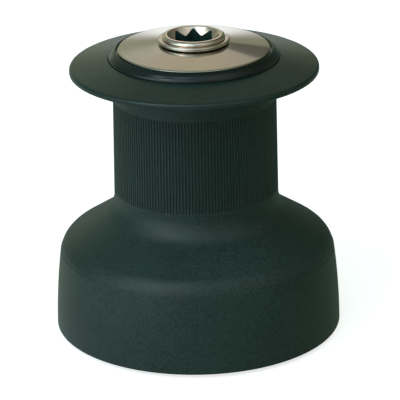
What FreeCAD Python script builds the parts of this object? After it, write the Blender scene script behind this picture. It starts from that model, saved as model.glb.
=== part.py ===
import FreeCAD, Part
import math
import os
from FreeCAD import Vector, Placement, Rotation

os.makedirs("parts", exist_ok=True)

# ---------------------------------------------------------------------------
# Plain-top sheet winch for a sailing boat. Millimetres, +Z up, the origin at
# the middle of the base's underside, which stands on the deck at Z = 0.
# ---------------------------------------------------------------------------

# drum, outside
DRUM_GAP = 2.0            # the drum's lower edge runs this far above the deck
SKIRT_R = 70.5            # skirt, at its lower edge
SKIRT_MID = (69.69, 21.5)
CREASE_Z = 41.05          # line where the skirt meets the shoulder
CREASE_R = 67.70
SHOULDER_R = 67.46
SHOULDER_ARC = 11.13      # rounding of the shoulder's outer edge
SHOULDER_SLOPE = 32.78    # degrees below the horizontal
SHOULDER_OUT = (62.59, 48.14)
SHOULDER_IN = (46.68, 58.39)
NECK_FILLET = 13.82
NECK_R_LOW, NECK_Z_LOW = 40.34, 70.0
NECK_R_TOP, NECK_Z_TOP = 39.67, 126.6
TOP_FILLET = 4.5          # between the neck and the underside of the top flange
FLANGE_R = 60.5
FLANGE_Z_LOW = 132.2
FLANGE_Z_RIM = 132.6
FLANGE_EDGE = 2.6         # rounding of the rim's upper edge
FLANGE_IN = (41.8, 139.7)
CROWN_SEAT_Z = 137.4
SKIRT_LIP_R = 0.6

# drum, inside
SKIRT_BORE = 66.3
GEAR_SEAT_R = 64.0
GEAR_Z0, GEAR_Z1 = 12.0, 24.0
SKIRT_IN_R = 62.8
BORE_R = 34.0
WEB_Z0, WEB_Z1 = 129.1, 134.0
WEB_HOLE = 17.0

# grip: upright grooves cut into the neck
RIBS = 162
RIB_Z0, RIB_Z1 = 72.0, 118.8
GROOVE_DEPTH = 0.45
GROOVE_FLOOR, GROOVE_MOUTH = 0.5, 1.0

# gear ring pressed into the skirt
GEAR_MODULE = 1.5
GEAR_TEETH = 75

# bearings between the stem and the drum
STEM_SEAT_R = 26.0
ROLLER_R = 3.0
ROLLER_PITCH_R = 29.03
RACE_R = 32.06
ROLLERS = 20
LOW_Z = (62.0, 82.0)
HIGH_Z = (108.0, 128.0)

# base
BASE_R = 64.2
BASE_T = 7.0
BOLT_PITCH_R = 56.5
BOLTS = 6
BOLT_HOLE_R = 3.3
STEM_SCREW_R = 45.5
STEM_TOP = 128.0
STEM_BORE = 17.5

# spindle, with its eight-point socket for the handle
SOCKET_FLATS = 17.6
SOCKET_CORNER_R = 11.75
SOCKET_FLOOR = 109.0
MOUTH_R = 12.35
SPINDLE_TOP = 150.15
MOUTH_Z = 149.8
LIP_Z = 148.2       # underside of the lip, above the snap ring's groove
LIP_R = 15.3
HEAD_R = 15.0
SHAFT_R = 11.0
JOURNAL_R = 8.0

# top
CROWN_R = 41.5
PLATE_R = 36.8
PLATE_EDGE_Z = 143.3
PLATE_HOLE_R = 15.9
PLATE_HUB_Z = 146.0
PLATE_T = 1.7


def revolve(start, *steps):
    """A full turn about Z of a closed outline given as (radius, height) points. A step is one point for a line, or two
    for an arc through the first of them."""
    edges, at = [], start
    v = lambda p: Vector(p[0], 0, p[1])
    for s in steps:
        if isinstance(s[0], tuple):
            edges.append(Part.Arc(v(at), v(s[0]), v(s[1])).toShape())
            at = s[1]
        elif math.hypot(s[0] - at[0], s[1] - at[1]) > 1e-6:
            edges.append(Part.LineSegment(v(at), v(s)).toShape())
            at = s
    if math.hypot(start[0] - at[0], start[1] - at[1]) > 1e-6:
        edges.append(Part.LineSegment(v(at), v(start)).toShape())
    face = Part.Face(Part.Wire(edges))
    solid = face.revolve(Vector(0, 0, 0), Vector(0, 0, 1), 360)
    if solid.ShapeType != "Solid":
        solid = Part.Solid(Part.Shell(solid.Faces))
    if solid.Volume < 0:
        solid.reverse()
    return solid


def cyl(r, z0, z1, x=0.0, y=0.0):
    return Part.makeCylinder(r, z1 - z0, Vector(x, y, z0), Vector(0, 0, 1))


def cone(r0, r1, z0, z1, x=0.0, y=0.0):
    return Part.makeCone(r0, r1, z1 - z0, Vector(x, y, z0), Vector(0, 0, 1))


def around(shape, count, start=0.0):
    out = []
    for k in range(count):
        s = shape.copy()
        s.rotate(Vector(0, 0, 0), Vector(0, 0, 1), start + 360.0 * k / count)
        out.append(s)
    return out


def arc_point(cx, cz, r, deg):
    a = math.radians(deg)
    return (cx + r * math.cos(a), cz + r * math.sin(a))


def save(name, *solids):
    solids = [s for s in solids]
    shape = solids[0] if len(solids) == 1 else Part.makeCompound(solids)
    for s in shape.Solids:
        if not s.isValid():
            print("NOT VALID", name)
    print("%-24s solids %2d  volume %10.1f mm3" % (name, len(shape.Solids), shape.Volume))
    shape.exportStep("parts/%s.step" % name)


# ---------------------------------------------------------------------------
# The drum: top flange, ribbed neck, shoulder and skirt, one turned casting
# ---------------------------------------------------------------------------
slope = math.radians(SHOULDER_SLOPE)
# rounding of the shoulder, tangent to its slope
ox = SHOULDER_OUT[0] - SHOULDER_ARC * math.sin(slope)
oz = SHOULDER_OUT[1] - SHOULDER_ARC * math.cos(slope)
arc_end = math.degrees(math.asin((CREASE_Z - oz) / SHOULDER_ARC))
arc_mid = arc_point(ox, oz, SHOULDER_ARC, (90 - SHOULDER_SLOPE + arc_end) / 2)
arc_low = arc_point(ox, oz, SHOULDER_ARC, arc_end)
# concave fillet at the neck's foot
nx, nz = NECK_R_LOW + NECK_FILLET, NECK_Z_LOW
fil_mid = arc_point(nx, nz, NECK_FILLET, 180 + (90 - SHOULDER_SLOPE) / 2)
fil_end = arc_point(nx, nz, NECK_FILLET, 180 + (90 - SHOULDER_SLOPE))
# concave fillet under the flange; the underside climbs outwards
UNDER_SLOPE = 4.0
tx, tz = NECK_R_TOP + TOP_FILLET, NECK_Z_TOP
top_mid = arc_point(tx, tz, TOP_FILLET, 180 - (90 - UNDER_SLOPE) / 2)
top_end = arc_point(tx, tz, TOP_FILLET, 180 - (90 - UNDER_SLOPE))
# rounded rim of the flange
rim_cx = FLANGE_R - FLANGE_EDGE
top_slope = math.degrees(
    math.atan2(FLANGE_IN[1] - (FLANGE_Z_RIM + FLANGE_EDGE * 0.96), rim_cx + 0.8 - FLANGE_IN[0])
)
rim_mid = arc_point(rim_cx, FLANGE_Z_RIM, FLANGE_EDGE, (90 - top_slope) / 2)
rim_end = arc_point(rim_cx, FLANGE_Z_RIM, FLANGE_EDGE, 90 - top_slope)

# the inside follows the shoulder at the wall's thickness
WALL = 5.6
ix = lambda p: (p[0] - WALL * math.sin(slope), p[1] - WALL * math.cos(slope))
in_out, in_in = ix(SHOULDER_OUT), ix(SHOULDER_IN)
z_at = lambda r: in_out[1] - (r - in_out[0]) * math.tan(slope)
drum = revolve(
    (SKIRT_BORE, DRUM_GAP + 0.5),
    (SKIRT_BORE + 0.5, DRUM_GAP),
    (SKIRT_R - SKIRT_LIP_R, DRUM_GAP),
    (
        arc_point(SKIRT_R - SKIRT_LIP_R, DRUM_GAP + SKIRT_LIP_R, SKIRT_LIP_R, -45),
        (SKIRT_R, DRUM_GAP + SKIRT_LIP_R),
    ),
    (SKIRT_MID, (CREASE_R, CREASE_Z)),
    arc_low,
    (arc_mid, SHOULDER_OUT),
    fil_end,
    (fil_mid, (NECK_R_LOW, NECK_Z_LOW)),
    (NECK_R_TOP, NECK_Z_TOP),
    (top_mid, top_end),
    (FLANGE_R - 0.4, FLANGE_Z_LOW),
    (FLANGE_R, FLANGE_Z_LOW + 0.3),
    (FLANGE_R, FLANGE_Z_RIM),
    (rim_mid, rim_end),
    FLANGE_IN,
    (FLANGE_IN[0], CROWN_SEAT_Z),
    (33.0, CROWN_SEAT_Z),
    (33.0, WEB_Z1),
    (WEB_HOLE, WEB_Z1),
    (WEB_HOLE, WEB_Z0),
    (BORE_R - 1.0, WEB_Z0),
    (BORE_R, WEB_Z0 - 1.0),
    (BORE_R, z_at(BORE_R + 2.0)),
    (BORE_R + 2.0, z_at(BORE_R + 2.0)),
    (SKIRT_IN_R - 4.0, z_at(SKIRT_IN_R - 4.0)),
    (SKIRT_IN_R, z_at(SKIRT_IN_R - 4.0) - 6.0),
    (SKIRT_IN_R, GEAR_Z1),
    (GEAR_SEAT_R, GEAR_Z1),
    (GEAR_SEAT_R, GEAR_Z0 - 0.5),
    (SKIRT_BORE, GEAR_Z0 - 0.5),
)
# the grooves follow the neck's slight taper, so every rib keeps one height
neck_r = lambda z: NECK_R_LOW + (NECK_R_TOP - NECK_R_LOW) * (z - NECK_Z_LOW) / (NECK_Z_TOP - NECK_Z_LOW)
r0, r1 = neck_r(RIB_Z0), neck_r(RIB_Z1)
out = 0.6
half = lambda d: GROOVE_FLOOR / 2 + (GROOVE_MOUTH - GROOVE_FLOOR) / 2 * d / GROOVE_DEPTH
section = [
    Vector(r0 - GROOVE_DEPTH, -half(0), RIB_Z0),
    Vector(r0 + out, -half(GROOVE_DEPTH + out), RIB_Z0),
    Vector(r0 + out, half(GROOVE_DEPTH + out), RIB_Z0),
    Vector(r0 - GROOVE_DEPTH, half(0), RIB_Z0),
]
groove = Part.Face(Part.makePolygon(section + section[:1])).extrude(Vector(r1 - r0, 0, RIB_Z1 - RIB_Z0))
drum = drum.cut(around(groove, RIBS))

# races pressed into the drum's bore
for name, (z0, z1) in (("lower_race", LOW_Z), ("upper_race", HIGH_Z)):
    save(name, cyl(BORE_R, z0, z1).cut(cyl(RACE_R, z0 - 1, z1 + 1)))

# gear ring, inside teeth
pitch_r = GEAR_MODULE * GEAR_TEETH / 2.0
tip_r, root_r = pitch_r - GEAR_MODULE, pitch_r + 1.2 * GEAR_MODULE
step = 2 * math.pi / GEAR_TEETH
pts = []
for k in range(GEAR_TEETH):
    a = k * step
    for r, f in ((root_r, -0.27), (tip_r, -0.13), (tip_r, 0.13), (root_r, 0.27)):
        pts.append(Vector(r * math.cos(a + f * step), r * math.sin(a + f * step), GEAR_Z0))
pts.append(pts[0])
teeth = Part.Face(Part.Wire(Part.makePolygon(pts).Edges)).extrude(Vector(0, 0, GEAR_Z1 - GEAR_Z0))
save("gear_ring", cyl(GEAR_SEAT_R, GEAR_Z0, GEAR_Z1).cut(teeth))

# ---------------------------------------------------------------------------
# Crown ring and top plate
# ---------------------------------------------------------------------------
PLATE_SEAT_Z = PLATE_EDGE_Z - 1.7
crown = revolve(
    (33.6, CROWN_SEAT_Z),
    (CROWN_R, CROWN_SEAT_Z),
    (CROWN_R, 140.2),
    (arc_point(CROWN_R - 3.4, 140.2, 3.4, 45), (CROWN_R - 3.4, 143.6)),
    (37.9, 143.6),
    ((37.62, 143.48), (37.5, 143.2)),
    (37.5, PLATE_SEAT_Z),
    (33.6, PLATE_SEAT_Z),
)
hub_under = PLATE_HUB_Z - PLATE_T
plate = revolve(
    (34.5, PLATE_SEAT_Z),
    (PLATE_R, PLATE_SEAT_Z),
    (PLATE_R, PLATE_EDGE_Z - 0.35),
    ((PLATE_R - 0.1, PLATE_EDGE_Z - 0.1), (PLATE_R - 0.35, PLATE_EDGE_Z)),
    (PLATE_HOLE_R + 0.2, PLATE_HUB_Z),
    (PLATE_HOLE_R, PLATE_HUB_Z - 0.2),
    (PLATE_HOLE_R, hub_under),
)
save("top_plate", plate)
# countersunk screws that hold the crown ring down, under the plate
crown_screw = cone(1.6, 3.0, 139.9, 141.3, 35.4, 0).fuse(cyl(1.6, 134.6, 139.9, 35.4, 0))
save("crown_screws", *around(crown_screw.removeSplitter(), 4, 45))
holes = around(crown_screw, 4, 45)
crown = crown.cut(Part.makeCompound(holes + around(cyl(3.0, 141.3, 142.0, 35.4, 0), 4, 45)))
save("crown_ring", crown)
drum = drum.cut(Part.makeCompound(holes))
if drum.ShapeType != "Solid":
    drum = drum.Solids[0]
save("drum", drum)

# ---------------------------------------------------------------------------
# Spindle
# ---------------------------------------------------------------------------
spindle = revolve(
    (0.0, 1.2),
    (JOURNAL_R - 0.8, 1.2),
    (JOURNAL_R, 2.0),
    (JOURNAL_R, 2.9),
    (6.6, 2.9),
    (6.6, 4.1),
    (JOURNAL_R, 4.1),
    (JOURNAL_R, 13.1),
    (SHAFT_R, 13.1),
    (SHAFT_R, 92.0),
    (HEAD_R, 97.0),
    (HEAD_R, LIP_Z - 3.0),
    (14.2, LIP_Z - 2.3),
    (14.2, LIP_Z),
    (LIP_R - 0.4, LIP_Z),
    ((LIP_R - 0.08, LIP_Z + 0.15), (LIP_R, LIP_Z + 0.45)),
    ((14.6, SPINDLE_TOP - 0.35), (13.3, SPINDLE_TOP)),
    ((12.62, SPINDLE_TOP - 0.08), (MOUTH_R, MOUTH_Z)),
    (9.3, MOUTH_Z - (MOUTH_R - 9.3) / math.tan(math.radians(38.0))),
    (0.0, MOUTH_Z - (MOUTH_R - 9.3) / math.tan(math.radians(38.0))),
)
h = SOCKET_FLATS / 2.0
square = Part.makeBox(2 * h, 2 * h, 60, Vector(-h, -h, SOCKET_FLOOR))
turned = square.copy()
turned.rotate(Vector(0, 0, 0), Vector(0, 0, 1), 45)
star = square.fuse(turned).removeSplitter().common(cyl(SOCKET_CORNER_R, SOCKET_FLOOR, SOCKET_FLOOR + 60))
spindle = spindle.cut(star)
spindle = spindle.cut(cone(2.2, 0.2, 1.1, 2.7))
save("spindle", spindle)

ring = revolve(
    (14.2, 146.9),
    ((14.4, 146.5), (14.9, 146.35)),
    (16.5, 146.35),
    ((17.13, 146.6), (17.4, 147.2)),
    (17.4, 147.3),
    ((17.13, 147.9), (16.5, 148.15)),
    (14.9, 148.15),
    ((14.4, 148.0), (14.2, 147.6)),
)
gap = Part.makeBox(10, 3.2, 4, Vector(12, -1.6, 146))
gap.rotate(Vector(0, 0, 0), Vector(0, 0, 1), 25)
save("snap_ring", ring.cut(gap))

washer = cyl(13.0, 4.1, 4.9).cut(cyl(JOURNAL_R, 4, 5.2))
save("foot_washer", washer)
circlip = cyl(11.2, 3.0, 4.1).cut(cyl(6.65, 2, 5))
slot = Part.makeBox(14, 7.0, 3, Vector(0, -3.5, 2))
eyes = [cyl(1.9, 3.0, 4.1, 9.6, 5.3), cyl(1.9, 3.0, 4.1, 9.6, -5.3)]
circlip = circlip.cut(slot).fuse(eyes).cut(Part.makeCompound([cyl(0.9, 2.5, 4.6, 9.8, 5.4), cyl(0.9, 2.5, 4.6, 9.8, -5.4)]))
circlip = circlip.removeSplitter()
save("foot_circlip", circlip)

# ---------------------------------------------------------------------------
# Base plate, stem and bushes
# ---------------------------------------------------------------------------
base = revolve(
    (10.2, 5.0),
    (17.0, 5.0),
    (17.0, 0.8),
    (40.0, 0.8),
    (40.0, 0.0),
    (BASE_R - 0.8, 0.0),
    (BASE_R, 0.8),
    (BASE_R, BASE_T - 1.5),
    (BASE_R - 1.5, BASE_T),
    (40.5, BASE_T),
    (40.5, BASE_T + 1.5),
    (38.5, BASE_T + 1.5),
    (36.0, BASE_T),
    (20.0, BASE_T),
    (18.0, 11.0),
    (10.2, 11.0),
)
bolt_hole = cyl(BOLT_HOLE_R, -1, BASE_T + 1, BOLT_PITCH_R, 0).fuse(
    cone(BOLT_HOLE_R, BOLT_HOLE_R + 3.3, BASE_T - 3.3, BASE_T, BOLT_PITCH_R, 0)
)
base = base.cut(Part.makeCompound(around(bolt_hole, BOLTS, 30)))
drain = Part.makeBox(20, 5.0, 2.2, Vector(50, -2.5, -1.0))
base = base.cut(Part.makeCompound(around(drain, 6, 0)))
screw_hole = cyl(2.7, 0, BASE_T + 1, STEM_SCREW_R, 0).fuse(cyl(4.8, -1, 4.2, STEM_SCREW_R, 0))
base = base.cut(Part.makeCompound(around(screw_hole, 6, 0)))
save("base_plate", base)

stem = revolve(
    (40.5, BASE_T),
    (50.0, BASE_T),
    (50.0, 15.0),
    (47.5, 18.0),
    (47.0, 32.0),
    ((45.6, 35.2), (42.5, 37.6)),
    (31.0, 46.0),
    (31.0, LOW_Z[0]),
    (STEM_SEAT_R, LOW_Z[0]),
    (STEM_SEAT_R, STEM_TOP - 1.0),
    (STEM_SEAT_R - 1.0, STEM_TOP),
    (STEM_BORE, STEM_TOP),
    (STEM_BORE, 40.0),
    (40.0, 28.0),
    (40.5, 26.0),
)
thread = cyl(2.5, BASE_T - 1, 18.0, STEM_SCREW_R, 0)
stem = stem.cut(Part.makeCompound(around(thread, 6, 0)))
save("center_stem", stem)

hexa = Part.Face(Part.makePolygon([Vector(2.3 * math.cos(math.radians(60 * k)), 2.3 * math.sin(math.radians(60 * k)), 0) for k in range(7)])).extrude(Vector(0, 0, 2.4))
hexa.translate(Vector(STEM_SCREW_R, 0, 0.5))
screw = cyl(4.4, 0.6, 4.2, STEM_SCREW_R, 0).fuse(cyl(2.5, 4.2, 17.5, STEM_SCREW_R, 0)).cut(hexa).removeSplitter()
save("stem_screws", *around(screw, 6, 0))

save("foot_bush", revolve((JOURNAL_R + 0.05, 5.0), (10.2, 5.0), (10.2, 11.0), (14.5, 11.0), (14.5, 13.0), (JOURNAL_R + 0.05, 13.0)))
save("upper_bush", cyl(STEM_BORE, 112.0, STEM_TOP).cut(cyl(HEAD_R + 0.05, 111, 129)))
save("thrust_washer", cyl(30.0, STEM_TOP, STEM_TOP + 1.0).cut(cyl(19.0, STEM_TOP - 1, STEM_TOP + 2)))
save("bearing_spacer", cyl(30.4, LOW_Z[1], HIGH_Z[0]).cut(cyl(STEM_SEAT_R + 0.3, 80, 110)))

for name, (z0, z1) in (("lower", LOW_Z), ("upper", HIGH_Z)):
    cage = cyl(31.2, z0, z1).cut(cyl(STEM_SEAT_R + 0.4, z0 - 1, z1 + 1))
    roller = cyl(ROLLER_R, z0 + 2.0, z1 - 2.3, ROLLER_PITCH_R, 0)
    pocket = cyl(ROLLER_R + 0.2, z0 + 2.0, z1 - 2.0, ROLLER_PITCH_R, 0).fuse(
        Part.makeBox(8, 2 * (ROLLER_R + 0.2) * 0.86, z1 - z0 - 4.0, Vector(ROLLER_PITCH_R - 4, -(ROLLER_R + 0.2) * 0.86, z0 + 2.0))
    )
    cage = cage.cut(Part.makeCompound(around(pocket, ROLLERS, 0)))
    save(name + "_bearing_cage", cage)
    save(name + "_bearing_rollers", *around(roller, ROLLERS, 0))
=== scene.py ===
import math

import bpy
import numpy as np
from mathutils import Matrix, Vector


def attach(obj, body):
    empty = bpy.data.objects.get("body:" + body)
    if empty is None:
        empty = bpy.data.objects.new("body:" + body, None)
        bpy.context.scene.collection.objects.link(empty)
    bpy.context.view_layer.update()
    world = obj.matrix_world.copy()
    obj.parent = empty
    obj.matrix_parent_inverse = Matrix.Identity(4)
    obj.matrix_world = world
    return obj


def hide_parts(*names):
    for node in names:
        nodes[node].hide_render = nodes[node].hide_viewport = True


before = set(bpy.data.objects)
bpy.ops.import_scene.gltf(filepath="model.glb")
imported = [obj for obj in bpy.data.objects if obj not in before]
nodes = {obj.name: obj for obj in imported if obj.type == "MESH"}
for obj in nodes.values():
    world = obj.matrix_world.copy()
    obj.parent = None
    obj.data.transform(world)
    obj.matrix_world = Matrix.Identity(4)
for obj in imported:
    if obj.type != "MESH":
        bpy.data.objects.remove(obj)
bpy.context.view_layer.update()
scene = bpy.context.scene

MM = 0.001

# ---------------------------------------------------------------------------
# Turned shapes
# ---------------------------------------------------------------------------


def arc(cx, cz, r, a0, a1, n):
    """Points of an arc in the (radius, height) plane, in millimetres, from angle a0 to a1 in degrees."""
    return [
        (
            cx + r * math.cos(math.radians(a0 + (a1 - a0) * k / n)),
            cz + r * math.sin(math.radians(a0 + (a1 - a0) * k / n)),
        )
        for k in range(n + 1)
    ]


def run(p, q, n):
    """Points of a straight run from p to q, both ends included."""
    return [
        (p[0] + (q[0] - p[0]) * k / n, p[1] + (q[1] - p[1]) * k / n)
        for k in range(n + 1)
    ]


def three_point(p, m, q, n):
    """Points of the arc through p, m and q."""
    ax, ay, bx, by, cx, cy = *p, *m, *q
    d = 2 * (ax * (by - cy) + bx * (cy - ay) + cx * (ay - by))
    ux = ((ax * ax + ay * ay) * (by - cy) + (bx * bx + by * by) * (cy - ay) + (cx * cx + cy * cy) * (ay - by)) / d
    uy = ((ax * ax + ay * ay) * (cx - bx) + (bx * bx + by * by) * (ax - cx) + (cx * cx + cy * cy) * (bx - ax)) / d
    r = math.hypot(ax - ux, ay - uy)
    a0, a1, am = (math.atan2(y - uy, x - ux) for x, y in (p, q, m))
    span = (a1 - a0) % (2 * math.pi)
    if (am - a0) % (2 * math.pi) > span:
        span -= 2 * math.pi
    return [(ux + r * math.cos(a0 + span * k / n), uy + r * math.sin(a0 + span * k / n)) for k in range(n + 1)]


def rounded(points, n=4):
    """A profile whose corners are (radius, height, fillet) points: each corner with a fillet is rounded by it."""
    out = []
    for i, p in enumerate(points):
        f = p[2] if len(p) > 2 else 0
        if f == 0 or i in (0, len(points) - 1):
            out.append((p[0], p[1]))
            continue
        c = Vector((p[0], p[1]))
        a = Vector(points[i - 1][:2]) - c
        b = Vector(points[i + 1][:2]) - c
        la, lb = a.length, b.length
        a.normalize()
        b.normalize()
        half = math.acos(max(-1, min(1, a.dot(b)))) / 2
        back = min(f / math.tan(half), la * 0.49, lb * 0.49)
        s, e = c + a * back, c + b * back
        for k in range(n + 1):
            t = k / n
            q = s * (1 - t) ** 2 + c * (2 * t * (1 - t)) + e * t**2
            out.append((q.x, q.y))
    return out


def clean(profile):
    out = [profile[0]]
    for p in profile[1:]:
        if math.hypot(p[0] - out[-1][0], p[1] - out[-1][1]) > 1e-4:
            out.append(p)
    return out


def lathe(profile, seg, radius_at=None, start=0.0, end=360.0):
    """Vertices and quads of a profile turned about Z. The surface faces to the right of the way the profile runs, as
    seen with the axis on the left, so an outside runs upwards. Points on the axis make a fan."""
    profile = clean(profile)
    full = abs(end - start - 360) < 1e-9
    cols = seg if full else seg + 1
    verts, rows, faces = [], [], []
    for r, z in profile:
        if r < 1e-6:
            rows.append([len(verts)] * cols)
            verts.append((0, 0, z * MM))
            continue
        rows.append(list(range(len(verts), len(verts) + cols)))
        for k in range(cols):
            a = math.radians(start + (end - start) * k / seg)
            verts.append((r * math.cos(a) * MM, r * math.sin(a) * MM, z * MM))
    for lo, hi in zip(rows, rows[1:]):
        for k in range(seg):
            j = (k + 1) % cols
            f = [lo[k], lo[j], hi[j], hi[k]]
            f = [v for i, v in enumerate(f) if v not in f[:i]]
            if len(f) > 2:
                faces.append(f)
    return verts, faces


def mesh_object(name, parts, material, sharp=35.0):
    """One object from lists of (vertices, faces)."""
    verts, faces = [], []
    for v, f in parts:
        o = len(verts)
        verts += v
        faces += [[i + o for i in q] for q in f]
    me = bpy.data.meshes.new(name)
    me.from_pydata(verts, [], faces)
    me.validate()
    me.polygons.foreach_set("use_smooth", [True] * len(me.polygons))
    me.set_sharp_from_angle(angle=math.radians(sharp))
    me.materials.append(material)
    me.update()
    ob = bpy.data.objects.new(name, me)
    scene.collection.objects.link(ob)
    return ob


# ---------------------------------------------------------------------------
# Materials
# ---------------------------------------------------------------------------


class Mat:
    def __init__(self, name):
        self.m = bpy.data.materials.new(name)
        self.m.use_nodes = True
        self.t = self.m.node_tree
        self.t.nodes.clear()
        self.out = self.t.nodes.new("ShaderNodeOutputMaterial")
        self.b = self.t.nodes.new("ShaderNodeBsdfPrincipled")
        self.t.links.new(self.b.outputs[0], self.out.inputs[0])
        self.co = self.t.nodes.new("ShaderNodeTexCoord").outputs["Object"]

    def node(self, kind, **props):
        n = self.t.nodes.new("ShaderNode" + kind)
        for k, v in props.items():
            setattr(n, k, v)
        return n

    def link(self, a, b):
        self.t.links.new(a, b)

    def noise(self, scale, detail=3.0, rough=0.55, co=None, dist=0.0):
        n = self.node("TexNoise")
        n.inputs["Scale"].default_value = scale
        n.inputs["Detail"].default_value = detail
        n.inputs["Roughness"].default_value = rough
        n.inputs["Distortion"].default_value = dist
        self.link(co or self.co, n.inputs["Vector"])
        return n.outputs[0]

    def ramp(self, fac, *stops):
        n = self.node("ValToRGB")
        e = n.color_ramp.elements
        while len(e) < len(stops):
            e.new(0.5)
        for el, (p, c) in zip(e, stops):
            el.position = p
            el.color = (*c, 1) if len(c) == 3 else c
        self.link(fac, n.inputs[0])
        return n.outputs[0]

    def remap(self, fac, a, b, lo, hi):
        n = self.node("MapRange")
        n.inputs[1].default_value, n.inputs[2].default_value = a, b
        n.inputs[3].default_value, n.inputs[4].default_value = lo, hi
        self.link(fac, n.inputs[0])
        return n.outputs[0]

    def math(self, op, a, b=0.0):
        n = self.node("Math", operation=op)
        for i, v in enumerate((a, b)):
            if isinstance(v, (int, float)):
                n.inputs[i].default_value = v
            else:
                self.link(v, n.inputs[i])
        return n.outputs[0]

    def mix(self, fac, a, b, blend="MIX"):
        n = self.node("Mix", data_type="RGBA", blend_type=blend)
        for i, v in ((0, fac), (6, a), (7, b)):
            if isinstance(v, (int, float)):
                n.inputs[i].default_value = v
            elif isinstance(v, tuple):
                n.inputs[i].default_value = (*v, 1)
            else:
                self.link(v, n.inputs[i])
        return n.outputs[2]

    def bump(self, height, strength, distance, normal=None):
        n = self.node("Bump")
        n.inputs["Strength"].default_value = strength
        n.inputs["Distance"].default_value = distance
        self.link(height, n.inputs["Height"])
        if normal:
            self.link(normal, n.inputs["Normal"])
        return n.outputs[0]

    def set(self, **values):
        names = {
            "color": "Base Color",
            "rough": "Roughness",
            "metal": "Metallic",
            "normal": "Normal",
            "spec": "Specular IOR Level",
            "coat": "Coat Weight",
            "coat_rough": "Coat Roughness",
            "aniso": "Anisotropic",
            "tangent": "Tangent",
            "ior": "IOR",
            "sheen": "Sheen Weight",
        }
        for k, v in values.items():
            s = self.b.inputs[names[k]]
            if isinstance(v, (int, float)):
                s.default_value = v
            elif isinstance(v, tuple):
                s.default_value = (*v, 1)
            else:
                self.link(v, s)
        return self.m


def blasted_black(name, dark, light, rough=(0.42, 0.56), grain=1.0, spec=0.5, grooves=None):
    """Hard-anodised aluminium over a fine blasted surface: deep green-black, grainy, with a soft even sheen. grooves is
    (radius at height 0, change of radius with height, depth): what lies that much deeper is drawn darker, as painted
    shade inside the grooves."""
    m = Mat(name)
    broad = m.noise(22.0, 3.0)
    cloud = m.noise(150.0, 4.0, 0.6)
    pits = m.noise(780.0, 2.5, 0.6)
    speck = m.noise(2600.0, 2.0, 0.6)
    c = m.mix(m.remap(broad, 0.35, 0.65, 0.0, 1.0), dark, light)
    c = m.mix(1.0, c, m.remap(cloud, 0.3, 0.7, 0.9, 1.12), "MULTIPLY")
    c = m.mix(1.0, c, m.remap(pits, 0.3, 0.7, 1 - 0.42 * grain, 1 + 0.5 * grain), "MULTIPLY")
    c = m.mix(m.remap(speck, 0.5, 0.72, 0.0, 0.6 * grain), c, tuple(x * 2.6 for x in light))
    worn = m.node("NewGeometry").outputs["Pointiness"]
    c = m.mix(m.remap(worn, 0.56, 0.72, 0.0, 0.3), c, (0.04, 0.055, 0.053))
    # painted shade in the rib grooves: the deeper a point lies below the rib face, the darker its colour is drawn
    if grooves:
        sep = m.node("SeparateXYZ")
        m.link(m.co, sep.inputs[0])
        flat = m.node("CombineXYZ")
        m.link(sep.outputs[0], flat.inputs[0])
        m.link(sep.outputs[1], flat.inputs[1])
        length = m.node("VectorMath", operation="LENGTH")
        m.link(flat.outputs[0], length.inputs[0])
        face = m.node("Math", operation="MULTIPLY_ADD")
        m.link(sep.outputs[2], face.inputs[0])
        face.inputs[1].default_value, face.inputs[2].default_value = grooves[1], grooves[0]
        deep = m.math("SUBTRACT", face.outputs[0], length.outputs["Value"])
        low = m.node("MapRange")  # the painted groove shade lies only on the ribbed length of the neck
        low.inputs[1].default_value, low.inputs[2].default_value = 0.0715, 0.072
        m.link(sep.outputs[2], low.inputs[0])
        high = m.node("MapRange")
        high.inputs[1].default_value, high.inputs[2].default_value = 0.1193, 0.1188
        m.link(sep.outputs[2], high.inputs[0])
        painted_groove_shade = m.math("MULTIPLY", m.remap(deep, grooves[2] * 0.15, grooves[2] * 0.9, 0.0, 0.55), m.math("MULTIPLY", low.outputs[0], high.outputs[0]))
        # painted shade: groove bottoms drawn toward a third of the dark colour
        c = m.mix(painted_groove_shade, c, tuple(x * 0.35 for x in dark))
    r = m.remap(m.math("ADD", m.math("MULTIPLY", cloud, 0.5), m.math("MULTIPLY", pits, 0.5)), 0.3, 0.7, rough[0], rough[1])
    n = m.bump(pits, 0.45 * grain, 0.00022)
    n = m.bump(speck, 0.25 * grain, 0.00008, n)
    return m.set(color=c, rough=r, normal=n, metal=0.0, spec=spec)


def satin_steel(name, base, rough=(0.2, 0.3), turned=0.0, aniso=0.0, metal=1.0, grain=0.05, scale=1.0):
    """Stainless steel. turned is the depth of the lathe's fine rings about Z."""
    m = Mat(name)
    sep = m.node("SeparateXYZ")
    m.link(m.co, sep.inputs[0])
    flat = m.node("CombineXYZ")
    m.link(sep.outputs[0], flat.inputs[0])
    m.link(sep.outputs[1], flat.inputs[1])
    length = m.node("VectorMath", operation="LENGTH")
    m.link(flat.outputs[0], length.inputs[0])
    ring_co = m.node("CombineXYZ")
    m.link(length.outputs["Value"], ring_co.inputs[0])
    m.link(m.math("MULTIPLY", sep.outputs[2], 1.0), ring_co.inputs[1])
    rings = m.noise(5200.0 * scale, 3.0, 0.7, ring_co.outputs[0])
    wide = m.noise(700.0 * scale, 2.0, 0.5, ring_co.outputs[0])
    cloud = m.noise(60.0, 3.0)
    speck = m.noise(3000.0, 2.0, 0.6)
    c = m.mix(m.remap(cloud, 0.3, 0.7, 0.0, 1.0), tuple(x * 0.93 for x in base), tuple(min(1, x * 1.05) for x in base))
    c = m.mix(m.remap(wide, 0.35, 0.65, 0.0, 0.3), c, tuple(x * 0.86 for x in base))
    r = m.remap(m.math("ADD", m.math("MULTIPLY", rings, 0.5), m.math("MULTIPLY", cloud, 0.5)), 0.3, 0.7, rough[0], rough[1])
    n = m.bump(speck, grain, 0.00004)
    if turned:
        n = m.bump(rings, turned, 0.00003, n)
    values = dict(color=c, rough=r, normal=n, metal=metal)
    if aniso:
        tan = m.node("Tangent", direction_type="RADIAL", axis="Z")
        values.update(aniso=aniso, tangent=tan.outputs[0])
    return m.set(**values)


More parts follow.
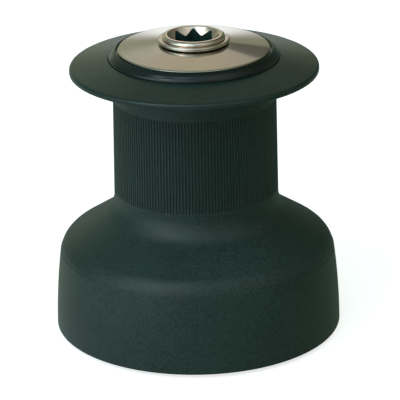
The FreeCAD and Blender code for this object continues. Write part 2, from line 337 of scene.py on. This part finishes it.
def plastic(name, base, rough=(0.4, 0.55)):
    m = Mat(name)
    cloud = m.noise(90.0, 3.0)
    fine = m.noise(1400.0, 2.0)
    c = m.mix(m.remap(cloud, 0.3, 0.7, 0.0, 1.0), tuple(x * 0.92 for x in base), base)
    r = m.remap(fine, 0.3, 0.7, rough[0], rough[1])
    return m.set(color=c, rough=r, normal=m.bump(fine, 0.08, 0.00005), metal=0.0)


# the drum's finish carries painted shade in its rib grooves
M_DRUM = blasted_black("drum_anodised", (0.0098, 0.0241, 0.0215), (0.014, 0.0338, 0.0299), rough=(0.38, 0.47), spec=0.42, grooves=(0.0411686, -0.0118375, 0.00045))
M_FLANGE = blasted_black("flange_anodised", (0.0098, 0.0241, 0.0215), (0.014, 0.0338, 0.0299), rough=(0.24, 0.3), grain=0.16, spec=0.42)
M_CROWN = blasted_black("crown_anodised", (0.0018, 0.0076, 0.0074), (0.0026, 0.0098, 0.0094), rough=(0.06, 0.1), grain=0.08, spec=0.48)
M_PLATE = satin_steel("plate_satin", (0.475, 0.45, 0.395), rough=(0.06, 0.1), turned=0.07)
M_HEAD = satin_steel("head_steel", (0.79, 0.65, 0.56), rough=(0.12, 0.18), turned=0.1)
M_SOCKET = blasted_black("socket_walls", (0.007, 0.024, 0.0235), (0.011, 0.034, 0.033), rough=(0.24, 0.34), grain=0.3, spec=0.4)
M_SPRING = satin_steel("ring_steel", (0.77, 0.66, 0.575), rough=(0.12, 0.2), turned=0.06)
M_STEEL = satin_steel("ground_steel", (0.55, 0.55, 0.54), rough=(0.22, 0.34), turned=0.2)
M_CAST = blasted_black("foot_anodised", (0.12, 0.125, 0.13), (0.17, 0.175, 0.18), rough=(0.4, 0.55), grain=0.8)
M_BRASS = satin_steel("foot_brass", (0.6, 0.45, 0.2), rough=(0.25, 0.4), turned=0.2)
M_BUSH = plastic("bush_acetal", (0.62, 0.6, 0.54))

# ---------------------------------------------------------------------------
# The drum, with the same outline as its casting
# ---------------------------------------------------------------------------
SLOPE = 32.78
SHOULDER_OUT, SHOULDER_IN = (62.59, 48.14), (46.68, 58.39)
ARC = 11.13
sx = SHOULDER_OUT[0] - ARC * math.sin(math.radians(SLOPE))
sz = SHOULDER_OUT[1] - ARC * math.cos(math.radians(SLOPE))
arc_low = math.degrees(math.asin((41.05 - sz) / ARC))
FILLET = 13.82
NECK_LOW, NECK_TOP = (40.34, 70.0), (39.67, 126.6)
RIB_Z0, RIB_Z1, RIBS = 72.0, 118.8, 162


def neck_r(z):
    return NECK_LOW[0] + (NECK_TOP[0] - NECK_LOW[0]) * (z - NECK_LOW[1]) / (NECK_TOP[1] - NECK_LOW[1])


lower = (
    rounded([(66.3, 11.5), (66.3, 2.5), (66.8, 2.0, 0.3), (69.9, 2.0)], 3)
    + arc(69.9, 2.6, 0.6, -90, 0, 8)
    + three_point((70.5, 2.6), (69.69, 21.5), (67.70, 40.85), 40)
    + three_point((67.70, 40.85), (67.62, 41.02), (67.46, 41.1), 4)
    + arc(sx, sz, ARC, arc_low + 0.3, 90 - SLOPE, 28)
    + run(SHOULDER_OUT, SHOULDER_IN, 16)[1:]
    + arc(NECK_LOW[0] + FILLET, NECK_LOW[1], FILLET, 270 - SLOPE, 180, 28)
    + [(neck_r(RIB_Z0), RIB_Z0)]
)
TOP_FILLET, UNDER = 4.5, 4.0
tx, tz = NECK_TOP[0] + TOP_FILLET, NECK_TOP[1]
rim_cx, rim_z, edge = 57.9, 132.6, 2.6
FLANGE_IN_Z = 138.75
top_slope = math.degrees(math.atan2(FLANGE_IN_Z - (rim_z + edge * 0.96), rim_cx + 0.8 - 41.8))
# the rim's upper corner, rounded tighter than the casting's, under the same slope
CORNER_R = 1.4
sr, cr = math.sin(math.radians(top_slope)), math.cos(math.radians(top_slope))
crn_x = rim_cx + edge - CORNER_R
crn_z = rim_z + edge * cr - (crn_x + CORNER_R * sr - rim_cx - edge * sr) * sr / cr - CORNER_R * cr
upper = (
    [(neck_r(RIB_Z1), RIB_Z1)]
    + arc(tx, tz, TOP_FILLET, 180, 90 + UNDER, 16)
    + run(arc(tx, tz, TOP_FILLET, 180, 90 + UNDER, 1)[1], (60.1, 132.2), 10)[1:]
    + three_point((60.1, 132.2), (60.39, 132.31), (60.5, 132.6), 5)
    + arc(crn_x, crn_z, CORNER_R, 0, 90 - top_slope, 14)
    + run(arc(crn_x, crn_z, CORNER_R, 0, 90 - top_slope, 1)[1], (41.8, FLANGE_IN_Z), 14)[1:]
    + [(41.8, 137.4), (33.0, 137.4), (33.0, 134.0), (17.0, 134.0), (17.0, 129.1), (33.0, 129.1), (34.0, 128.1)]
)
WALL = 5.6
in_out = (SHOULDER_OUT[0] - WALL * math.sin(math.radians(SLOPE)), SHOULDER_OUT[1] - WALL * math.cos(math.radians(SLOPE)))


def z_in(r):
    return in_out[1] - (r - in_out[0]) * math.tan(math.radians(SLOPE))


inner = [
    (34.0, 128.1),
    (34.0, z_in(36.0)),
    (36.0, z_in(36.0)),
    (58.8, z_in(58.8)),
    (62.8, z_in(58.8) - 6.0),
    (62.8, 24.0),
    (64.0, 24.0),
    (64.0, 11.5),
    (66.3, 11.5),
]


def ribbed():
    """The neck's grip: fine upright ribs between flat-bottomed grooves, each with softened edges and short run-outs."""
    depth, pitch = 0.45, 2 * math.pi / RIBS
    # across one rib and groove, as (share of the pitch, depth)
    shape = [(-0.205, 0.0), (-0.12, 0.0), (0.12, 0.0), (0.205, 0.03), (0.245, 0.12), (0.315, 0.4), (0.36, depth), (0.64, depth), (0.685, 0.4), (0.755, 0.12), (0.795, 0.03)]
    shape = shape[1:]
    rows = [(RIB_Z0, 0.0), (RIB_Z0 + 0.06, 0.25), (RIB_Z0 + 0.3, 0.9), (RIB_Z0 + 0.55, 1.0), (95.0, 1.0), (RIB_Z1 - 0.55, 1.0), (RIB_Z1 - 0.3, 0.9), (RIB_Z1 - 0.06, 0.25), (RIB_Z1, 0.0)]
    verts, faces = [], []
    cols = RIBS * len(shape)
    for z, share in rows:
        for k in range(RIBS):
            for s, d in shape:
                a = (k + s) * pitch
                r = (neck_r(z) - d * share) * MM
                verts.append((r * math.cos(a), r * math.sin(a), z * MM))
    for i in range(len(rows) - 1):
        for k in range(cols):
            j = (k + 1) % cols
            faces.append([i * cols + k, i * cols + j, (i + 1) * cols + j, (i + 1) * cols + k])
    return verts, faces


drum = mesh_object("drum_shell", [lathe(lower, 320), lathe(upper, 320), lathe(inner, 160), ribbed()], M_DRUM, sharp=40)
drum.data.materials.append(M_FLANGE)
for p in drum.data.polygons:  # the flange is turned smoother than the rest
    if p.center.z > 0.1323 and math.hypot(p.center.x, p.center.y) > 0.0414:
        p.material_index = 1
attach(drum, "drum")
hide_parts("drum")

# ---------------------------------------------------------------------------
# Crown ring and top plate
# ---------------------------------------------------------------------------
crown = mesh_object(
    "crown_band",
    [
        lathe(
            [(33.6, 137.4), (41.5, 137.4), (41.5, 139.0)]
            + arc(39.25, 139.0, 2.25, 0, 52, 16)[1:]
            + three_point(arc(39.25, 139.0, 2.25, 0, 52, 1)[1], (39.46, 141.97), (38.15, 142.7), 12)[1:]
            + three_point((38.15, 142.7), (37.95, 142.76), (37.8, 142.68), 4)[1:]
            + three_point((37.8, 142.68), (37.73, 142.57), (37.7, 142.4), 4)
            + [(37.7, 141.9)]
            + [(37.5, 141.6), (33.6, 141.6), (33.6, 137.4)],
            288,
        )
    ],
    M_CROWN,
)
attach(crown, "drum")
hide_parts("crown_ring")

plate = mesh_object(
    "plate_disc",
    [
        lathe(
            [(34.5, 141.6), (36.9, 141.6), (36.9, 142.85)]
            + three_point((36.9, 142.85), (36.87, 142.94), (36.82, 143.0), 4)[1:]
            + run((36.82, 143.0), (36.6, 143.2), 3)[1:]
            + three_point((36.6, 143.2), (36.53, 143.25), (36.44, 143.28), 4)[1:]
            + run((36.44, 143.28), (16.1, 146.0), 24)[1:]
            + three_point((16.1, 146.0), (15.95, 145.97), (15.9, 145.8), 4)
            + [(15.9, 144.3), (34.5, 141.6)],
            288,
        )
    ],
    M_PLATE,
)
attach(plate, "drum")
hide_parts("top_plate")

# ---------------------------------------------------------------------------
# Spindle with its star socket
# ---------------------------------------------------------------------------
HALF, CORNER, FLOOR_Z, MOUTH, MOUTH_Z = 8.8, 11.75, 109.0, 12.35, 149.8


def star_r(a):
    """The socket's outline: two squares at 45 degrees, with the points cut round."""
    one = HALF / max(abs(math.cos(a)), abs(math.sin(a)))
    b = a + math.pi / 4
    two = HALF / max(abs(math.cos(b)), abs(math.sin(b)))
    soft = 0.45 - abs(one - two)  # the edges that point inwards are broken
    return min(max(one, two) + (soft * soft / 1.8 if soft > 0 else 0), CORNER)


def star_angles():
    out = []
    cut = math.acos(HALF / CORNER)  # where a flat meets the round
    for k in range(8):
        c = k * math.pi / 4
        out += [c - math.pi / 4 + cut + (math.pi / 2 - 2 * cut) * t / 4 for t in range(5)]  # round end
        mid = c + math.pi / 8
        edge_a = c + (math.pi / 4 - cut)
        edge_b = c + math.pi / 4 - (math.pi / 4 - cut)
        out += [edge_a + (mid - edge_a) * t / 6 for t in range(1, 7)]
        out += [mid + (edge_b - mid) * t / 6 for t in range(1, 6)]
        out += [mid + math.radians(d) for d in (-2.4, -1.2, 1.2, 2.4)]
    return sorted(set(round(a % (2 * math.pi), 9) for a in out))


def cone_z(r):
    return MOUTH_Z - (MOUTH - r) / math.tan(math.radians(38.0))


def socket():
    angles = star_angles()
    rings = []
    lip = three_point((15.3, 148.65), (14.6, 149.8), (13.3, 150.15), 10)
    lip += three_point((13.3, 150.15), (12.62, 150.07), (MOUTH, MOUTH_Z), 6)[1:]
    for r, z in lip:
        rings.append([(r, z)] * len(angles))
    soft = 0.16
    rings.append([(star_r(a) + soft, cone_z(star_r(a) + soft)) for a in angles])
    rings.append([(star_r(a) + soft * 0.3, cone_z(star_r(a)) + soft * 0.1) for a in angles])
    rings.append([(star_r(a), cone_z(star_r(a)) - soft) for a in angles])
    rings.append([(star_r(a), 125.0) for a in angles])
    rings.append([(star_r(a), FLOOR_Z) for a in angles])
    verts, faces = [], []
    for ring in rings:
        for (r, z), a in zip(ring, angles):
            verts.append((r * math.cos(a) * MM, r * math.sin(a) * MM, z * MM))
    n = len(angles)
    for i in range(len(rings) - 1):
        for k in range(n):
            j = (k + 1) % n
            faces.append([i * n + k, i * n + j, (i + 1) * n + j, (i + 1) * n + k])
    centre = len(verts)
    verts.append((0, 0, FLOOR_Z * MM))
    last = (len(rings) - 1) * n
    for k in range(n):
        faces.append([last + k, last + (k + 1) % n, centre])
    return verts, faces


body_profile = rounded(
    [(0.0, 2.5), (0.2, 2.7), (1.95, 1.2, 0.2), (7.2, 1.2, 0.2), (8.0, 2.0, 0.2), (8.0, 2.9), (6.6, 2.9), (6.6, 4.1), (8.0, 4.1), (8.0, 13.1), (11.0, 13.1, 0.2), (11.0, 92.0, 0.5), (15.0, 97.0, 0.5), (15.0, 145.2, 0.15), (14.2, 145.9), (14.2, 148.2), (14.9, 148.2)],
    3,
) + three_point((14.9, 148.2), (15.22, 148.35), (15.3, 148.65), 5)
spindle = mesh_object("spindle_head", [lathe(body_profile, 192), socket()], M_HEAD, sharp=30)
spindle.data.materials.append(M_SOCKET)
for p in spindle.data.polygons:  # the broached walls and floor get the darker socket material
    if math.hypot(p.center.x, p.center.y) < 0.0119 and 0.108 < p.center.z < 0.1496 and abs(p.normal.z) < 0.4:
        p.material_index = 1
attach(spindle, "spindle")
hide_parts("spindle")

# snap ring: a rounded band, open at one place
ring_section = rounded([(14.2, 147.25), (14.2, 146.35, 0.45), (17.4, 146.35, 0.75), (17.4, 148.15, 0.75), (14.2, 148.15, 0.45), (14.2, 147.25)], 6)
GAP_AT, GAP_HALF = 25.0, math.degrees(math.asin(1.6 / 15.8))
rv, rf = lathe(ring_section, 220, start=GAP_AT + GAP_HALF, end=GAP_AT + 360 - GAP_HALF)
n = len(clean(ring_section))
rf.append([i * 221 for i in range(n - 1)])
rf.append([i * 221 + 220 for i in range(n - 1)][::-1])
snap = mesh_object("snap_ring_band", [(rv, rf)], M_SPRING)
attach(snap, "spindle")
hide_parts("snap_ring")

# ---------------------------------------------------------------------------
# Finishes of the pieces that stay as the casting made them
# ---------------------------------------------------------------------------
finish_of = {
    "gear_ring": M_STEEL,
    "lower_race": M_STEEL,
    "upper_race": M_STEEL,
    "crown_screws": M_STEEL,
    "foot_washer": M_BRASS,
    "foot_circlip": M_SPRING,
    "base_plate": M_CAST,
    "center_stem": M_CAST,
    "stem_screws": M_STEEL,
    "foot_bush": M_BUSH,
    "upper_bush": M_BUSH,
    "thrust_washer": M_BUSH,
    "bearing_spacer": M_BUSH,
    "lower_bearing_cage": M_BUSH,
    "upper_bearing_cage": M_BUSH,
    "lower_bearing_rollers": M_STEEL,
    "upper_bearing_rollers": M_STEEL,
}
for name, material in finish_of.items():
    ob = nodes[name]
    if not ob.material_slots:
        ob.data.materials.append(material)
    for s in ob.material_slots:
        s.material = material

# ---------------------------------------------------------------------------
# Floor, light, camera
# ---------------------------------------------------------------------------
world = bpy.data.worlds.new("studio")
scene.world = world
world.use_nodes = True
wt = world.node_tree
bg = wt.nodes["Background"]


def tnode(tree, kind, op, *values):
    n = tree.nodes.new("ShaderNode" + kind)
    n.operation = op
    for i, v in enumerate(values):
        if isinstance(v, bpy.types.NodeSocket):
            tree.links.new(v, n.inputs[i])
        elif v is not None:
            n.inputs[i].default_value = v
    return n


def glow(tree, way, azimuth, height, tightness, colour):
    """One soft source: azimuth in degrees from straight behind the part, positive to the right, and height above the
    horizon."""
    a, e = math.radians(azimuth), math.radians(height)
    to = (math.sin(a) * math.cos(e), math.cos(a) * math.cos(e), math.sin(e))
    d = tnode(tree, "VectorMath", "DOT_PRODUCT", way, to).outputs["Value"]
    v = tnode(tree, "Math", "EXPONENT", tnode(tree, "Math", "MULTIPLY_ADD", d, float(tightness), -float(tightness)).outputs[0]).outputs[0]
    n = tnode(tree, "VectorMath", "SCALE", colour)
    tree.links.new(v, n.inputs["Scale"])
    return n.outputs[0]


def glows(tree, way, sources):
    total = None
    for source in sources:
        g = glow(tree, way, *source)
        total = g if total is None else tnode(tree, "VectorMath", "ADD", total, g).outputs[0]
    return total


# The floor is white paper in the picture. What it throws back on the part is set on its own: most from the front and
# the left, little from behind.
fm = Mat("floor_paper")
fc = fm.mix(fm.remap(fm.noise(3.0, 2.0), 0.3, 0.7, 0.0, 1.0), (0.92, 0.92, 0.92), (0.935, 0.935, 0.935))
fm.set(color=fc, rough=0.9, spec=0.1)
paper = fm.node("Emission")
paper.inputs[1].default_value = PAPER_GLOW = 0.72
both = fm.node("AddShader")
fm.link(fm.b.outputs[0], both.inputs[0])
fm.link(paper.outputs[0], both.inputs[1])
level = tnode(fm.t, "VectorMath", "NORMALIZE", fm.co).outputs[0]
thrown = fm.node("Emission")
fm.link(
    glows(
        fm.t,
        level,
        [
            (0, 0, 4, (0.06, 0.11, 0.13)),
            (60, 0, 4, (0.15, 0.23, 0.16)),
            (120, 0, 4, (0.13, 0.18, 0.13)),
            (180, 0, 4, (0.19, 0.26, 0.22)),
            (-120, 0, 4, (0.36, 0.45, 0.46)),
            (-60, 0, 4, (0.37, 0.44, 0.34)),
        ],
    ),
    thrown.inputs[0],
)
pick = fm.node("MixShader")
fm.link(fm.node("LightPath").outputs["Is Camera Ray"], pick.inputs[0])
fm.link(thrown.outputs[0], pick.inputs[1])
fm.link(both.outputs[0], pick.inputs[2])
fm.link(pick.outputs[0], fm.out.inputs[0])
floor_mat = fm.m
fs = 6.0
floor_me = bpy.data.meshes.new("floor")
floor_me.from_pydata([(-fs, -fs, -0.0002), (fs, -fs, -0.0002), (fs, fs, -0.0002), (-fs, fs, -0.0002)], [], [(0, 1, 2, 3)])
floor_me.materials.append(floor_mat)
floor = bpy.data.objects.new("floor", floor_me)
scene.collection.objects.link(floor)

way = wt.nodes.new("ShaderNodeTexCoord").outputs["Generated"]
total = glows(
    wt,
    way,
    [
        (0, 6, 12, (0.22, 0.29, 0.12)),
        (60, 6, 12, (0.12, 0.14, 0.12)),
        (90, 6, 12, (0.06, 0.11, 0.03)),
        (150, 6, 12, (0.39, 0.4, 0.26)),
        (-150, 6, 12, (1.22, 1.23, 1.19)),
        (-120, 6, 12, (1.21, 1.69, 1.73)),
        (-30, 6, 12, (0.28, 0.3, 0.22)),
        (40, 30, 12, (0.03, 0.07, 0.01)),
        (80, 30, 12, (0.1, 0, 0.07)),
        (120, 30, 12, (0.2, 0.22, 0.21)),
        (-80, 30, 12, (0.17, 0.15, 0.17)),
        (-40, 30, 12, (0.09, 0.15, 0.11)),
        (90, 56, 10, (0.11, 0.2, 0.1)),
        (150, 56, 10, (0.51, 0.55, 0.56)),
        (-150, 56, 10, (0, 0.31, 0.34)),
        (-90, 56, 10, (0.16, 0.22, 0.16)),
        (-30, 56, 10, (0.07, 0.13, 0.11)),
        (0, 9, 120, (0.13, 0, 0.13)),
        (0, 24, 120, (0.71, 0.58, 0.65)),
        (0, 33, 120, (0.48, 0.38, 0.28)),
        (-9, 25, 200, (0.08, 0.08, 0.07)),
        (0, 88, 10, (0.1, 0.1, 0.1)),
        (-133, 49, 60, (0.02, 0, 0.11)),
        (-180, 30, 60, (0.37, 0.52, 0.55)),
        (-150, 62, 60, (0.94, 0.88, 0.89)),
        (-175, 22, 150, (0.41, 0.53, 0.55)),
        (-155, 52, 150, (0.29, 0.28, 0.38)),
        (-135, 37, 150, (3.2, 3.3, 3.35)),
        (-135, 52, 150, (0.21, 0.18, 0.25)),
        (-115, 37, 150, (1.13, 1.34, 1.44)),
        (-115, 52, 150, (2.09, 1.87, 1.96)),
        (165, 52, 150, (0.47, 0.43, 0.5)),
        (140, 52, 150, (0.27, 0.18, 0.13)),
        (-142, 46, 250, (0.89, 0.99, 1.02)),
        (-133, 40, 250, (0.75, 0.72, 0.75)),
        (0, 5, 250, (1.19, 1.27, 1.43)),
        (25, 14, 60, (0, 0, 0.07)),
        (-141, 43, 90, (1.6, 1.8, 1.88)),
        (-152, 34, 90, (0.07, 0.23, 0.3)),
        (-162, 46, 90, (1.03, 1.07, 1.18)),
        (-22, 1, 60, (0.25, 0.23, 0.27)),
        (-141, 43, 35, (0, 0, 0.06)),
        (-122, 30, 60, (0.04, 0.15, 0.17)),
    ],
)


def band(value, lo, hi, soft):
    """One between lo and hi of a direction's component, with soft edges."""
    out = []
    for a, b in ((lo - soft, lo + soft), (hi + soft, hi - soft)):
        m = wt.nodes.new("ShaderNodeMapRange")
        m.interpolation_type = "SMOOTHSTEP"
        m.inputs[1].default_value, m.inputs[2].default_value = a, b
        wt.links.new(value, m.inputs[0])
        out.append(m.outputs[0])
    return tnode(wt, "Math", "MULTIPLY", *out).outputs[0]


# a dark board behind and to the right, which the turned disc mirrors as a dark sector
axes = wt.nodes.new("ShaderNodeSeparateXYZ")
wt.links.new(way, axes.inputs[0])
board = tnode(wt, "Math", "MULTIPLY", band(axes.outputs[0], 0.0775, 0.2, 0.002), band(axes.outputs[2], 0.30, 0.428, 0.003)).outputs[0]
shade = tnode(wt, "VectorMath", "SCALE", total)
wt.links.new(tnode(wt, "Math", "MULTIPLY_ADD", board, -0.62, 1.0).outputs[0], shade.inputs["Scale"])
wt.links.new(shade.outputs[0], bg.inputs[0])
# the room behind the part is plain white in the picture
white = wt.nodes.new("ShaderNodeBackground")
white.inputs[0].default_value = (1, 1, 1, 1)
seen = wt.nodes.new("ShaderNodeMixShader")
wt.links.new(wt.nodes.new("ShaderNodeLightPath").outputs["Is Camera Ray"], seen.inputs[0])
wt.links.new(bg.outputs[0], seen.inputs[1])
wt.links.new(white.outputs[0], seen.inputs[2])
wt.links.new(seen.outputs[0], wt.nodes["World Output"].inputs[0])


cam_data = bpy.data.cameras.new("camera")
cam = bpy.data.objects.new("camera", cam_data)
scene.collection.objects.link(cam)
scene.camera = cam
R_BASE = 0.071
dist, elev, roll, off, aim = 18.517, math.radians(21.1918), math.radians(-1.0236), 0.023864, 0.877177
fw = Vector((0, math.cos(elev), -math.sin(elev)))
rt = Vector((1, 0, 0))
up = rt.cross(fw)
c, s = math.cos(roll), math.sin(roll)
rt2, up2 = rt * c + up * s, up * c - rt * s
m = Matrix((rt2, up2, -fw)).transposed().to_4x4()
m.translation = Vector((off * R_BASE, -dist * math.cos(elev) * R_BASE, (aim + dist * math.sin(elev)) * R_BASE + 0.002))
cam.matrix_world = m
cam_data.sensor_width = 36.0
cam_data.lens = 2667.17 / 400 * 36.0
cam_data.clip_start, cam_data.clip_end = 0.05, 30.0

scene.view_settings.view_transform = "Standard"
scene.view_settings.look = "None"
scene.view_settings.exposure = 0.0
scene.view_settings.gamma = 1.0
